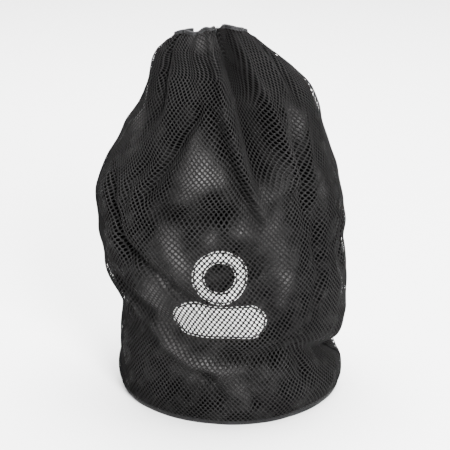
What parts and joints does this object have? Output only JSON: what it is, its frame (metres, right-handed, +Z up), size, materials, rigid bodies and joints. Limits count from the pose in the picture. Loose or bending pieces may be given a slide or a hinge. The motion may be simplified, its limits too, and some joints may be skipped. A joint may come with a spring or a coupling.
{
  "type": "mesh ball bag",
  "caption": "Round-based drawstring bag with a black net shell over a thin liner, its mouth gathered by a drawcord and a sprung cord lock.",
  "frame": {"origin": "on the floor under the middle of the filled bag", "axes": "+Z up through the mouth, the printed front faces -Y, +X to the right seen from the front"},
  "size_m": [0.284, 0.266, 0.42],
  "materials": {
    "base_fabric": "coated polyester, semi-matte",
    "board_plastic": "matte sheet",
    "piping_tape": "woven tape, soft sheen",
    "liner_nylon": "crinkled thin nylon, soft sheen",
    "print_film": "matte transfer print",
    "net_polyester": "warp-knitted polyester net, soft sheen",
    "seam_tape": "woven tape",
    "binding_tape": "woven tape, soft sheen",
    "cord_braid": "braided polyester",
    "lock_plastic": "satin moulded",
    "button_plastic": "satin moulded",
    "spring_steel": "drawn wire"
  },
  "bodies": {
    "root": {"base_panel": "base_fabric", "base_board": "board_plastic", "base_piping": "piping_tape", "liner_floor": "liner_nylon", "liner_left": "liner_nylon", "liner_right": "liner_nylon", "emblem_print": "print_film", "mesh_front": "net_polyester", "mesh_back": "net_polyester", "seam_tape_left": "seam_tape", "seam_tape_right": "seam_tape", "mouth_binding": "binding_tape", "drawcord": "cord_braid", "cord_knot": "cord_braid"},
    "lock": {"lock_barrel": "lock_plastic", "lock_spring": "spring_steel"},
    "button": {"lock_button": "button_plastic"}
  },
  "joints": [
    {"name": "lock_slide", "type": "slide", "parent": "root", "child": "lock", "axis": [0, 1, 0], "range_m": [0, 0.008]},
    {"name": "button_press", "type": "slide", "parent": "lock", "child": "button", "axis": [-1, 0, 0], "range_m": [0, 0.004], "stiffness_N_per_m": 500, "springref_m": -0.003, "deforming": ["lock_spring"]}
  ]
}
